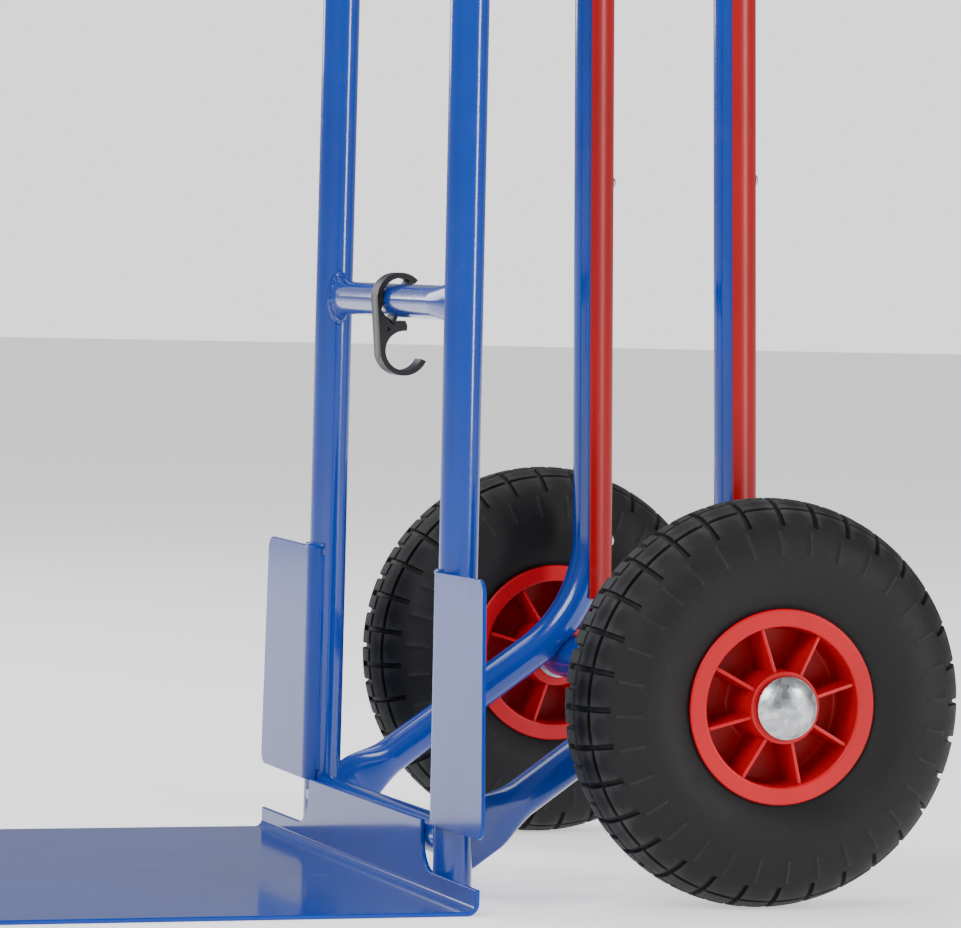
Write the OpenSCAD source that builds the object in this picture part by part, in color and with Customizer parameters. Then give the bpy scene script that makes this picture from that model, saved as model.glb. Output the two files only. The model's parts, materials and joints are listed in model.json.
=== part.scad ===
// Tubular steel hand truck with a wide toe plate, stair skids and pneumatic wheels.
// +X is the truck's left-right direction, -Y its loading side, +Z up.
// The origin is the centre of the footprint on the floor.

/* [Frame] */
// Distance between the two upright axes at the floor
foot_spacing = 293; // [270:1:340]
// Inward lean of each side frame, in degrees
frame_taper = 0.55; // [0:0.05:1.2]
// Outside diameter of the frame tubes
tube_d = 25; // [22:0.5:28]
// Wall of the frame tubes
tube_wall = 1.5; // [1:0.1:2.5]
// Height where an upright starts to bend back at the top
upright_straight_h = 1010; // [800:5:1200]
// Angle through which an upright bends back at the top, in degrees
upright_top_bend = 60; // [45:1:70]
// Centreline radius of the top bend of an upright
upright_bend_r = 90; // [60:1:120]
// Height of an upright's open lower end above the floor
upright_foot_h = 5; // [4:0.5:10]

/* [Rear tubes] */
// Distance from the uprights' plane back to the knee of a rear tube
rear_gap = 190.6; // [160:0.2:240]
// Height at which the lower diagonal would meet the upright axis
diagonal_foot_h = 28.6; // [20:0.2:40]
// Rise of the lower diagonal above the horizontal, in degrees
diagonal_rise = 35.5; // [30:0.5:42]
// Centreline radius of the knee bend
knee_r = 100; // [60:1:120]
// Forward lean of a rear tube above its knee, in degrees
rear_lean = 1.4; // [0:0.1:3]
// Distance the rear tubes stand inside the uprights' planes
rear_inset = 6.4; // [2:0.2:10]
// Length of a rear tube from its knee to the corner of the handle
rear_len = 1025; // [850:5:1200]
// Length over which the foot of a rear tube is pressed flat
flat_len = 58; // [40:1:70]
// Height of the pressed end
flat_h = 37; // [32:0.5:42]
// Thickness of the pressed end
flat_t = 10; // [8:0.5:14]

/* [Handles] */
// Angle through which a rear tube bends back into the handle, in degrees
handle_bend = 50; // [35:1:60]
// Centreline radius of the handle bend
handle_bend_r = 90; // [60:1:110]
// Length from the handle corner to the end of the handle tube
handle_len = 150; // [130:1:170]
// Length of the plastic grip
grip_len = 105; // [90:1:120]
// Wall of the plastic grip
grip_wall = 3.2; // [2.5:0.1:5]

/* [Cross tubes] */
// Outside diameter of the cross tubes
cross_d = 22; // [20:0.5:24]
// Axis height of the low cross tube, which carries the hook
cross_low_h = 378; // [340:1:450]
// Axis height of the middle cross tube
cross_mid_h = 700; // [600:1:760]
// Axis height of the top cross tube
cross_top_h = 985; // [900:1:990]
// Height of the pressed ends of a cross tube
cross_flare_h = 31; // [27:0.5:34]
// Length over which an end of a cross tube is pressed
cross_flare_len = 34; // [25:1:45]
// Thickness of the pressed ends of a cross tube
cross_flare_t = 13.6; // [10:0.2:16]
// Axis height of the bar between the two rear tubes
rear_bar_h = 1105; // [1000:1:1130]
// Axis height of the stay between an upright and its rear tube
stay_h = 655; // [560:1:800]
// Outside diameter of the stays
stay_d = 20; // [16:0.5:22]
// Axis height of the lowest cross tube, behind the toe plate
foot_bar_h = 37; // [34:0.5:45]

/* [Toe plate] */
// Width of the toe plate
plate_w = 482; // [400:1:560]
// Depth of the toe plate in front of its rear flange
plate_d = 400; // [250:1:450]
// Thickness of the sheet
plate_t = 3; // [2:0.25:5]
// Height of the bent-up rear flange
flange_h = 16.5; // [14:0.5:22]
// Inside radius of the bend
plate_bend_r = 5; // [3:0.5:6]
// Height of the tall centre of the flange
tab_h = 48; // [42:1:60]
// Half width of the tall centre of the flange
tab_half_w = 126.5; // [100:0.5:128]
// Radius of the scallop at each end of the tall centre
scallop_r = 23.5; // [15:0.5:24]
// Radius of the front corners of the plate
plate_corner_r = 18; // [8:1:40]

/* [Side wings] */
// Height of the bottom of a wing
wing_low = 46.5; // [45:0.5:70]
// Height of the top of a wing
wing_high = 207.5; // [180:0.5:240]
// Reach of a wing beyond the upright axis at its top
wing_top_w = 95; // [70:1:110]
// Reach of a wing beyond the upright axis at its bottom
wing_foot_w = 102; // [75:1:115]
// Thickness of the sheet
wing_t = 2.5; // [1.5:0.25:3]
// Radius of the outer corners
wing_corner_r = 9; // [5:0.5:14]
// Angle of sheet wrapped round the inner side of the upright, in degrees
wing_wrap = 55; // [40:1:75]

/* [Wheels] */
// Outside radius of the tyre
wheel_r = 130; // [115:1:140]
// Outside radius of the tyre's round section
tyre_section_r = 41.6; // [38:0.2:46]
// Thickness of the tyre's casing
tyre_wall = 5; // [3:0.25:7]
// Distance of each wheel's middle plane from the truck's middle
wheel_offset = 217; // [212:1:240]
// Distance of the axle behind the uprights' plane
axle_setback = 181; // [180:0.5:200]
// Outside radius of the rim's edge
rim_r = 62; // [58:0.5:66]
// Radius of the rim's bead seat
seat_r = 56; // [52:0.5:58]
// Thickness of the rim under the bead seat
rim_wall = 5.5; // [4:0.25:8]
// Half width of the rim over its edges
rim_half_w = 35.5; // [33:0.5:38]
// Thickness of the lips that hold the tyre's beads
rim_lip_t = 3.2; // [2.5:0.1:4]
// Outside radius of the hub
hub_r = 23; // [21:0.5:26]
// Half length of the hub
hub_half_l = 40; // [36:0.5:42]
// Number of ribs on each side of the rim
rib_count = 8; // [5:1:10]
// Thickness of the ribs
rib_t = 3; // [2:0.2:4]
// Angle of the first rib from straight down, in degrees
rib_turn = 16; // [0:1:90]
// Thickness of the web between hub and rim
web_t = 4; // [3:0.5:6]
// Wall of the inner tube
air_tube_wall = 1.6; // [1.2:0.1:2.5]
// Radius of the valve stem
valve_r = 3; // [2.5:0.25:3.5]

/* [Axle] */
// Diameter of the axle rod
axle_d = 20; // [18:1:20]
// Outside diameter of the axle tube
axle_tube_d = 31; // [28:0.5:33]
// Outside radius of each bearing
bearing_r = 16; // [14:0.5:18]
// Length of each bearing
bearing_l = 14; // [8:0.5:18]
// Thickness of the washers
washer_t = 2.5; // [1.5:0.25:3]
// Outside radius of the washers
washer_r = 17; // [14:0.5:19]
// Radius of the domed hub caps
cap_r = 20; // [18:0.5:22]
// Depth of the domed hub caps
cap_depth = 8; // [6:0.5:10]
// Sheet thickness of the hub caps
cap_t = 1.5; // [1:0.25:2]

/* [Stair skids] */
// Thickness of the skid
skid_t = 2.3; // [1.8:0.1:4]
// Half of the angle that the skid wraps round the back of its tube, in degrees
skid_wrap = 114; // [95:1:125]
// Height of the lower end of a skid
skid_low = 172; // [170:1:240]
// Height of the upper end of a skid
skid_high = 1000; // [800:5:1030]
// Distance of the end screws from the ends of a skid
screw_margin = 40; // [25:1:80]
// Radius of the heads of the pan-head screws
screw_head_r = 4; // [3:0.25:5]
// Height of the heads of the pan-head screws
screw_head_t = 2; // [1.5:0.1:3]
// Radius of the shanks of the screws
screw_shank_r = 2; // [1.5:0.25:2.5]
// Number of screws per skid
screws_per_skid = 4; // [2:1:6]

/* [Hook] */
// Width of the hook along its cross tube
hook_w = 15; // [10:0.5:20]
// Thickness of the hook's arms
hook_t = 3.6; // [2.8:0.1:4.5]
// Inside radius of the lower seat
hook_seat_r = 13; // [11:0.25:15]
// Inside radius of the upper loop beyond the tube radius
hook_loop_play = 1.6; // [1:0.1:2.5]
// Height of the web between the tube and the lower seat
hook_web_h = 9; // [7:0.5:14]

/* [Clearances] */
// Radial running clearance of the bearings on the axle and the hook on its tube
running = 0.05; // [0.02:0.01:0.09]
// Side clearance of each wheel between its washers
side_play = 0.6; // [0.4:0.1:1.5]
// Clearance between a skid or grip and its tube
slip = 0.1; // [0.05:0.05:0.3]
// Gap between tyre, inner tube and rim
air_gap = 0.2; // [0.1:0.05:0.5]

/* [Hidden] */
$fn = 72;

// How far straight runs reach into a bend, and how much thicker the bend is.
lap = 1;
swell = 0.05;
// Depth of the thin slices that a pressed end is spanned between, and its step below the tube.
skin = 1;
press_step = 0.5;

tube_r = tube_d / 2;
cross_r = cross_d / 2;
axle_r = axle_d / 2;
axle_tube_r = axle_tube_d / 2;

// Side frame outline, as [distance behind the upright, height].
knee = [rear_gap, diagonal_foot_h + rear_gap * tan(diagonal_rise)];
rear_angle = 90 + rear_lean;
handle_angle = rear_angle - handle_bend;
handle_corner = knee + rear_len * [cos(rear_angle), sin(rear_angle)];
handle_end = handle_corner + handle_len * [cos(handle_angle), sin(handle_angle)];
diagonal_dir = [cos(diagonal_rise), sin(diagonal_rise)];
diagonal_foot = [0, diagonal_foot_h];
flat_start = diagonal_foot + flat_len * diagonal_dir;
knee_t = knee_r * tan((rear_angle - diagonal_rise) / 2);

// Top of an upright: straight, then bent back until it meets its rear tube.
upright_corner = [0, upright_straight_h + upright_bend_r * tan(upright_top_bend / 2)];
upright_top_angle = 90 - upright_top_bend;
upright_reach = (rear_y_at(upright_corner.y) - 0.5 * tube_r) / cos(upright_top_angle);
upright_end = upright_corner + upright_reach * [cos(upright_top_angle), sin(upright_top_angle)];

// Footprint and the place of the uprights' plane in it.
plate_front = tube_r + plate_t + plate_d;
grip_end_reach = 2 * grip_wall;
handle_back = handle_end.x + (tube_r + grip_wall) * sin(handle_angle) + grip_end_reach;
rear_reach = max(axle_setback + wheel_r, handle_back);
upright_y = (plate_front - rear_reach) / 2;

// Places along the axle.
hub_in_x = wheel_offset - hub_half_l;
hub_out_x = wheel_offset + hub_half_l;
axle_tube_end = hub_in_x - side_play - washer_t;
cap_seat_x = hub_out_x + side_play + washer_t;
axle_end = cap_seat_x + cap_t;

tyre_mid_r = wheel_r - tyre_section_r;
bead_lap = 3;
bead_out = rim_half_w - rim_lip_t;
bead_in = bead_out - tyre_wall;
valve_x = -(web_t / 2 + rim_half_w) / 2;
valve_turn = rib_turn + 180 / rib_count;
valve_len_out = 14;
stem_out = seat_r - rim_wall - valve_len_out;

// Hook outline, measured from the axis of its cross tube.
loop_r = cross_r + hook_loop_play;
loop_centre = [0.8, 2.2];
seat_centre = [4, -cross_r - hook_web_h - hook_seat_r];

blue = "#1C4FA0";
red = "#C8141E";

function rear_y_at(h) = knee.x + (h - knee.y) * cos(rear_angle) / sin(rear_angle);
function unit(a) = [cos(a), sin(a)];
function bend_len(r, turn) = r * tan(abs(turn) / 2);

// Moves from the side-frame drawing (x = backwards, y = up, z = outwards) to the truck.
module side(s, inset = 0) {
    translate([0, upright_y, 0]) mirror([s < 0 ? 1 : 0, 0, 0])
        translate([foot_spacing / 2, 0, 0]) rotate([0, -frame_taper, 0])
            rotate([90, 0, 90]) translate([0, 0, -inset]) children();
}

module ring(r, wall) {
    difference() {
        circle(r);
        if (wall > 0) circle(r - wall);
    }
}

// Straight round bar from one point of the drawing to another. Its seam faces outwards.
module run(a, b, r) {
    d = b - a;
    translate([a.x, a.y, 0]) rotate([0, 0, atan2(d.y, d.x)]) rotate([0, 90, 0])
        rotate([0, 0, 180]) cylinder(r = r, h = norm(d));
}

// Bend between directions from_a and to_a, whose straight runs would meet at corner. It is a
// hair thicker than the runs, which reach a little way into it.
module bend(corner, from_a, to_a, bend_r, r) {
    turn = to_a - from_a;
    side_sign = turn > 0 ? 1 : -1;
    start = corner - bend_len(bend_r, turn) * unit(from_a);
    centre = start + bend_r * side_sign * unit(from_a + 90);
    first = turn > 0 ? from_a - 90 : to_a + 90;
    translate([centre.x, centre.y, 0]) rotate([0, 0, first])
        rotate_extrude(angle = abs(turn)) translate([bend_r, 0]) circle(r + swell);
}

// The part of a disc between two angles, as a mask for rings.
module sector(from_a, to_a, reach) {
    steps = 8;
    polygon(concat([[0, 0]], [for (i = [0:steps]) reach * unit(from_a + (to_a - from_a) * i / steps)]));
}

// --- side frames -----------------------------------------------------------------------------

// The centreline of an upright as a round bar, cut short by inset at the top.
module upright_path(r, inset = 0) {
    top_end = upright_corner + bend_len(upright_bend_r, upright_top_bend) * unit(upright_top_angle);
    run([0, upright_foot_h], [0, upright_straight_h + lap], r);
    bend(upright_corner, 90, upright_top_angle, upright_bend_r, r);
    run(top_end - lap * unit(upright_top_angle), upright_end - inset * unit(upright_top_angle), r);
}

// The centreline of a rear tube as a round bar, cut short by inset at the foot.
module rear_path(r, inset = 0) {
    top_t = bend_len(handle_bend_r, handle_bend);
    run(flat_start + inset * diagonal_dir, knee - (knee_t - lap) * unit(diagonal_rise), r);
    knee_bend(r);
    run(knee + (knee_t - lap) * unit(rear_angle), handle_corner - (top_t - lap) * unit(rear_angle), r);
    bend(handle_corner, rear_angle, handle_angle, handle_bend_r, r);
    run(handle_corner + (top_t - lap) * unit(handle_angle), handle_end, r);
}

module knee_bend(r) {
    bend(knee, diagonal_rise, rear_angle, knee_r, r);
}

// The pressed foot of a rear tube, from round to a flat oval. Its round end plugs the tube.
module pressed_foot() {
    plug = 3;
    translate([flat_start.x, flat_start.y, 0]) rotate([0, 0, diagonal_rise]) hull() {
        rotate([0, 90, 0]) translate([0, 0, -skin])
            cylinder(r = tube_r - press_step, h = skin + plug, $fn = 32);
        translate([tube_r / 2 - flat_len, 0, 0]) rotate([0, 90, 0]) linear_extrude(skin)
            for (k = [-1, 1]) translate([0, k * (flat_h - flat_t) / 2]) circle(flat_t / 2, $fn = 32);
    }
}

module upright(s) {
    solid_end = 2 * tube_d;
    color(blue) difference() {
        side(s) upright_path(tube_r);
        side(s) upright_path(tube_r - tube_wall, solid_end);
        side(s, rear_inset) rear_path(tube_r);
    }
}

module rear_tube(s) {
    color(blue) difference() {
        side(s, rear_inset) union() {
            rear_path(tube_r);
            pressed_foot();
        }
        side(s, rear_inset) rear_path(tube_r - tube_wall, tube_r);
        side(s) run([0, 0], [0, upright_straight_h / 2], tube_r);
        across(0, foot_bar_h, tube_r + air_gap, 0, foot_spacing / 2);
        for (i = [0:screws_per_skid - 1]) skid_screw(s, i);
    }
}

module stay(s) {
    back = rear_y_at(stay_h);
    color(blue) difference() {
        side(s, rear_inset / 2) run([tube_r / 2, stay_h], [back - tube_r / 2, stay_h], stay_d / 2);
        side(s, rear_inset / 2) run([tube_d, stay_h], [back - tube_d, stay_h], stay_d / 2 - tube_wall);
        side(s) run([0, 0], [0, upright_straight_h], tube_r);
        side(s, rear_inset) rear_path(tube_r);
    }
}

// --- bars across the truck -------------------------------------------------------------------

module across(y, z, r, wall, half) {
    translate([-half, upright_y + y, z]) rotate([0, 90, 0]) linear_extrude(2 * half) ring(r, wall);
}

module coped_to_uprights() {
    difference() {
        children();
        for (s = [-1, 1]) side(s) run([0, 0], [0, upright_straight_h], tube_r);
    }
}

module foot_bar() {
    half = foot_spacing / 2 - foot_bar_h * tan(frame_taper);
    color(blue) coped_to_uprights() across(0, foot_bar_h, tube_r, tube_wall, half - tube_r / 4);
}

// A round tube whose ends are pressed taller and narrower where they meet the uprights.
module cross_tube(z) {
    half = foot_spacing / 2 - z * tan(frame_taper);
    flare_from = half - tube_r - cross_flare_len;
    color(blue) coped_to_uprights() {
        across(0, z, cross_r, tube_wall, flare_from);
        for (s = [-1, 1]) translate([s * flare_from, upright_y, z]) mirror([s < 0 ? 1 : 0, 0, 0])
            hull() {
                rotate([0, 90, 0]) translate([0, 0, -skin])
                    cylinder(r = cross_r - press_step, h = 2 * skin, $fn = 32);
                translate([half - flare_from - tube_r / 2, 0, 0]) rotate([0, 90, 0]) linear_extrude(skin)
                    for (k = [-1, 1]) translate([k * (cross_flare_h - cross_flare_t) / 2, 0])
                        circle(cross_flare_t / 2, $fn = 32);
            }
    }
}

module rear_bar() {
    half = foot_spacing / 2 - rear_inset - rear_bar_h * tan(frame_taper);
    color(blue) difference() {
        across(rear_y_at(rear_bar_h), rear_bar_h, cross_r, tube_wall, half - tube_r / 4);
        for (s = [-1, 1]) side(s, rear_inset) run(knee, handle_corner, tube_r);
    }
}

// --- toe plate and wings -----------------------------------------------------------------------

module toe_plate() {
    outer_r = plate_bend_r + plate_t;
    face = tube_r + plate_t;
    flat_back = tube_r + outer_r;
    color(blue) translate([0, upright_y, 0]) {
        // flat sheet with rounded front corners
        linear_extrude(plate_t) union() {
            translate([-plate_w / 2, -plate_front + plate_corner_r])
                square([plate_w, plate_front - plate_corner_r - flat_back]);
            translate([-plate_w / 2 + plate_corner_r, -plate_front])
                square([plate_w - 2 * plate_corner_r, plate_corner_r]);
            for (s = [-1, 1])
                translate([s * (plate_w / 2 - plate_corner_r), -plate_front + plate_corner_r])
                    circle(plate_corner_r);
        }
        // bend up to the flange
        translate([-plate_w / 2, -flat_back, outer_r]) rotate([90, 0, 90]) linear_extrude(plate_w)
            intersection() {
                ring(outer_r, plate_t);
                translate([0, -outer_r]) square(outer_r);
            }
        // flange and its tall centre, scalloped at both ends
        translate([0, -tube_r, 0]) rotate([90, 0, 0]) linear_extrude(plate_t) {
            translate([-plate_w / 2, outer_r]) square([plate_w, flange_h - outer_r]);
            difference() {
                translate([-tab_half_w - scallop_r, flange_h])
                    square([2 * (tab_half_w + scallop_r), tab_h - flange_h]);
                for (s = [-1, 1]) {
                    translate([s * (tab_half_w + scallop_r), flange_h + scallop_r]) circle(scallop_r);
                    translate([s > 0 ? tab_half_w : -tab_half_w - scallop_r - 1, flange_h + scallop_r])
                        square([scallop_r + 1, tab_h]);
                }
            }
        }
    }
}

// A flat sheet that starts at the upright's front and wraps round its inner side.
module side_wing(s) {
    height = wing_high - wing_low;
    corner = wing_corner_r;
    slope = (wing_foot_w - wing_top_w) / height;
    low_x = wing_foot_w - corner - slope * corner;
    high_x = wing_top_w - corner;
    color(blue) {
        side(s) translate([-tube_r, 0, 0]) rotate([0, -90, 0]) linear_extrude(wing_t) {
            polygon([
                [0, wing_low], [low_x, wing_low], [wing_foot_w - slope * corner, wing_low + corner],
                [wing_top_w, wing_high - corner], [high_x, wing_high], [0, wing_high]
            ]);
            translate([high_x, wing_high - corner]) circle(corner);
            translate([low_x, wing_low + corner]) circle(corner);
        }
        side(s) translate([0, wing_low, 0]) rotate([-90, 0, 0]) linear_extrude(height)
            intersection() {
                ring(tube_r + wing_t, wing_t);
                sector(180 - wing_wrap, 180, 2 * tube_r);
            }
    }
}

// --- handles and skids ---------------------------------------------------------------------------

module grip(s) {
    grip_r = tube_r + slip + grip_wall;
    collar = 4;
    color("#1A1A1C") side(s, rear_inset) translate([handle_end.x, handle_end.y, 0])
        rotate([0, 0, handle_angle]) rotate([0, 90, 0]) difference() {
            union() {
                translate([0, 0, -grip_len]) cylinder(r = grip_r, h = grip_len + grip_wall);
                translate([0, 0, -grip_len]) cylinder(r = grip_r + collar / 2, h = collar);
                translate([0, 0, grip_wall - collar / 2]) cylinder(r = grip_r + collar / 4, h = collar / 2);
            }
            translate([0, 0, -grip_len - 1]) cylinder(r = tube_r + slip, h = grip_len + 1);
        }
}

function skid_point(h) = [rear_y_at(h), h];
function screw_pitch() = (skid_high - skid_low - 2 * screw_margin) / (screws_per_skid - 1);
function screw_height(i) = skid_low + screw_margin + i * screw_pitch();

// Heads sit on the skid, shanks run through it and the back wall of the tube.
module skid_screw(s, i) {
    counterbore = 0.2;
    tip = tube_r - tube_wall - 1;
    back = tube_r + slip + skid_t;
    at = skid_point(screw_height(i));
    side(s, rear_inset) translate([at.x, at.y, 0]) rotate([0, 0, rear_angle - 90])
        rotate([0, 90, 0]) {
            translate([0, 0, tip]) cylinder(r = screw_shank_r, h = back - tip);
            translate([0, 0, back - counterbore]) cylinder(r = screw_head_r, h = screw_head_t + counterbore);
        }
}

module skid_screws() {
    color("silver") for (s = [-1, 1]) for (i = [0:screws_per_skid - 1])
        skid_screw(s, i);
}

module stair_skid(s) {
    low = skid_point(skid_low);
    high = skid_point(skid_high);
    color(red) difference() {
        side(s, rear_inset) translate([low.x, low.y, 0]) rotate([0, 0, rear_angle]) rotate([0, 90, 0])
            linear_extrude(norm(high - low)) intersection() {
                ring(tube_r + slip + skid_t, skid_t);
                sector(-90 - skid_wrap, -90 + skid_wrap, 3 * tube_r);
            }
        side(s, rear_inset) knee_bend(tube_r + 3 * slip);
        for (i = [0:screws_per_skid - 1]) skid_screw(s, i);
    }
}

// --- axle and wheels --------------------------------------------------------------------------------

// Moves to the axle, with z outwards along it on side s.
module on_axle(s, x = 0) {
    translate([s * x, upright_y + axle_setback, wheel_r]) rotate([0, s * 90, 0]) children();
}

module axle_tube() {
    color(blue) difference() {
        translate([-axle_tube_end, upright_y + axle_setback, wheel_r]) rotate([0, 90, 0])
            linear_extrude(2 * axle_tube_end) ring(axle_tube_r, axle_tube_r - axle_r);
        for (s = [-1, 1]) side(s, rear_inset) knee_bend(tube_r);
        for (s = [-1, 1]) side(s, rear_inset)
            run(flat_start, knee - knee_t * unit(diagonal_rise), tube_r);
    }
}

module axle_rod() {
    color("silver") translate([-axle_end, upright_y + axle_setback, wheel_r])
        rotate([0, 90, 0]) cylinder(r = axle_r, h = 2 * axle_end);
}

module washers(x) {
    color("silver") for (s = [-1, 1]) on_axle(s, x) linear_extrude(washer_t)
        ring(washer_r, washer_r - axle_r);
}

// Thin domed cap with a collar that grips the end of the axle.
module hub_cap(s) {
    collar_wall = 2.5;
    dome_r = (cap_r * cap_r + cap_depth * cap_depth) / (2 * cap_depth);
    color("silver") on_axle(s, cap_seat_x) rotate_extrude() intersection() {
        union() {
            difference() {
                translate([0, cap_depth - dome_r]) circle(dome_r, $fn = 144);
                translate([0, cap_depth - dome_r]) circle(dome_r - cap_t, $fn = 144);
            }
            translate([axle_r, 0]) square([collar_wall, cap_depth - 2 * cap_t]);
        }
        square([cap_r, cap_depth]);
    }
}

module tyre(s) {
    color("#222224") on_axle(s, wheel_offset) rotate_extrude($fn = 144) {
        difference() {
            translate([tyre_mid_r, 0]) circle(tyre_section_r);
            translate([tyre_mid_r, 0]) circle(tyre_section_r - tyre_wall);
            translate([0, -tyre_section_r]) square([rim_r + 1, 2 * tyre_section_r]);
        }
        for (k = [-1, 1])
            translate([seat_r, k > 0 ? bead_in : -bead_out])
                square([rim_r + bead_lap - seat_r, bead_out - bead_in]);
    }
}

module inner_tube_section(shrink) {
    section_r = tyre_section_r - tyre_wall - air_gap - shrink;
    intersection() {
        translate([tyre_mid_r, 0]) circle(section_r);
        union() {
            translate([rim_r + bead_lap + air_gap + shrink, -wheel_r]) square([wheel_r, 2 * wheel_r]);
            translate([seat_r + air_gap + shrink, -bead_in + air_gap + shrink])
                square([wheel_r, 2 * (bead_in - air_gap - shrink)]);
        }
    }
}

module inner_tube(s) {
    color("#2C2C2E") on_axle(s, wheel_offset) difference() {
        rotate_extrude($fn = 144) difference() {
            inner_tube_section(0);
            inner_tube_section(air_tube_wall);
        }
        valve_shape(valve_r);
    }
}

// Stem that starts in the inner tube and comes out through the rim's seat.
module valve_shape(r) {
    rotate([0, 0, valve_turn]) translate([stem_out, 0, valve_x]) rotate([0, 90, 0])
        cylinder(r = r, h = seat_r + air_gap + air_tube_wall - stem_out);
}

module valve(s) {
    boot_wall = 0.8;
    boot_len = valve_len_out / 2;
    color("#303032") on_axle(s, wheel_offset) {
        valve_shape(valve_r);
        rotate([0, 0, valve_turn]) translate([stem_out, 0, valve_x]) rotate([0, 90, 0])
            cylinder(r = valve_r + boot_wall, h = boot_len);
    }
}

module rim(s) {
    barrel_in = seat_r - rim_wall;
    rib_hub_h = hub_half_l - 3;
    rib_rim_h = rim_half_w - 3;
    lip_round = rim_lip_t / 2;
    edge_round = 2;
    sleeve_wall = 2;
    color(red) on_axle(s, wheel_offset) difference() {
        union() {
            rotate_extrude($fn = 144) {
                // barrel, edges, web and hub
                translate([barrel_in, edge_round - rim_half_w])
                    square([rim_wall, 2 * (rim_half_w - edge_round)]);
                for (k = [-1, 1]) translate([barrel_in + edge_round, k > 0 ? bead_out : -rim_half_w])
                    square([rim_r - barrel_in - edge_round - lip_round, rim_lip_t]);
                for (k = [-1, 1]) {
                    translate([rim_r - lip_round, k * (rim_half_w - lip_round)])
                        circle(lip_round, $fn = 24);
                    translate([barrel_in + edge_round, k * (rim_half_w - edge_round)])
                        circle(edge_round, $fn = 24);
                }
                translate([hub_r - 1, -web_t / 2]) square([barrel_in - hub_r + 2, web_t]);
                translate([axle_r + sleeve_wall, -hub_half_l])
                    square([hub_r - axle_r - sleeve_wall, 2 * hub_half_l]);
            }
            for (i = [0:rib_count - 1]) rotate([0, 0, rib_turn + 360 / rib_count * i]) rotate([90, 0, 0])
                translate([0, 0, -rib_t / 2]) linear_extrude(rib_t) polygon([
                    [hub_r - 2, -rib_hub_h], [hub_r, -rib_hub_h],
                    [barrel_in + 1, -rib_rim_h], [barrel_in + 1, rib_rim_h],
                    [hub_r, rib_hub_h], [hub_r - 2, rib_hub_h]
                ]);
        }
        for (k = [-1, 1]) translate([0, 0, k > 0 ? hub_half_l - bearing_l : -hub_half_l - 1])
            cylinder(r = bearing_r, h = bearing_l + 1);
        valve_shape(valve_r + air_gap);
    }
}

module bearing(s, outer) {
    x = outer ? wheel_offset + hub_half_l - bearing_l : wheel_offset - hub_half_l;
    color("#9A9A98") on_axle(s, x) linear_extrude(bearing_l)
        ring(bearing_r, bearing_r - axle_r - running);
}

// --- hook on the lower cross tube -------------------------------------------------------------------

// Points along an arc, about eight degrees apart.
function arc_points(centre, r, from_a, to_a) =
    let (n = ceil(abs(to_a - from_a) / 8))
    [for (i = [0:n]) centre + r * unit(from_a + (to_a - from_a) * i / n)];

module hook_bore(at, r) {
    translate([at.x, at.y, -1]) cylinder(r = r, h = hook_w + 2);
}

// One outline goes over the tube, down the front and round the seat. The bores are cut from it.
module hook_clip() {
    loop_from = 44;
    loop_to = 196;
    seat_from = 84;
    seat_to = 336;
    seat_out = hook_seat_r + hook_t;
    inner = 0.8;
    web_r = cross_r + 3;
    pad_w = 2.8;
    deep = loop_r + hook_t;
    hole_r = 1.4;
    hole_at = seat_centre + [-11.4, hook_seat_r + 1];
    color("#1C1C1E") translate([-hook_w / 2, upright_y, cross_low_h]) rotate([90, 0, 90])
        difference() {
            union() {
                difference() {
                    linear_extrude(hook_w) polygon(concat(
                        arc_points(loop_centre, loop_r + hook_t, loop_from, 188),
                        arc_points(seat_centre, seat_out, 192, seat_to),
                        arc_points(seat_centre, hook_seat_r - inner, seat_to, seat_from),
                        [seat_centre + seat_out * unit(seat_from)],
                        arc_points([0, 0], web_r, 288, 206),
                        arc_points(loop_centre, loop_r - inner, loop_to, loop_from)
                    ));
                    hook_bore(loop_centre, loop_r);
                    hook_bore(seat_centre, hook_seat_r);
                }
                // small pads that rest on the tube
                for (pad = [[58, deep], [180, loop_r + 1], [256, deep]]) rotate([0, 0, pad[0]])
                    translate([cross_r - 1, -pad_w / 2, 0]) cube([pad[1] - cross_r + 1, pad_w, hook_w]);
            }
            hook_bore([0, 0], cross_r + running);
            hook_bore(hole_at, hole_r);
        }
}

toe_plate();
foot_bar();
cross_tube(cross_low_h);  // cross_tube_low
cross_tube(cross_mid_h);  // cross_tube_middle
cross_tube(cross_top_h);  // cross_tube_top
rear_bar();
upright(-1);  // upright_left
upright(1);  // upright_right
rear_tube(-1);  // rear_tube_left
rear_tube(1);  // rear_tube_right
stay(-1);  // stay_left
stay(1);  // stay_right
side_wing(-1);  // side_wing_left
side_wing(1);  // side_wing_right
grip(-1);  // grip_left
grip(1);  // grip_right
stair_skid(-1);  // stair_skid_left
stair_skid(1);  // stair_skid_right
skid_screws();
axle_tube();
axle_rod();
washers(axle_tube_end);  // inner_washers
washers(hub_out_x + side_play);  // outer_washers
hub_cap(-1);  // hub_cap_left
hub_cap(1);  // hub_cap_right
tyre(-1);  // tyre_left
tyre(1);  // tyre_right
inner_tube(-1);  // inner_tube_left
inner_tube(1);  // inner_tube_right
rim(-1);  // rim_left
rim(1);  // rim_right
bearing(-1, true);  // outer_bearing_left
bearing(1, true);  // outer_bearing_right
bearing(-1, false);  // inner_bearing_left
bearing(1, false);  // inner_bearing_right
valve(-1);  // valve_left
valve(1);  // valve_right
hook_clip();
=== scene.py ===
import json
import math

import bmesh
import bpy
from mathutils import Matrix, Vector

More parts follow.
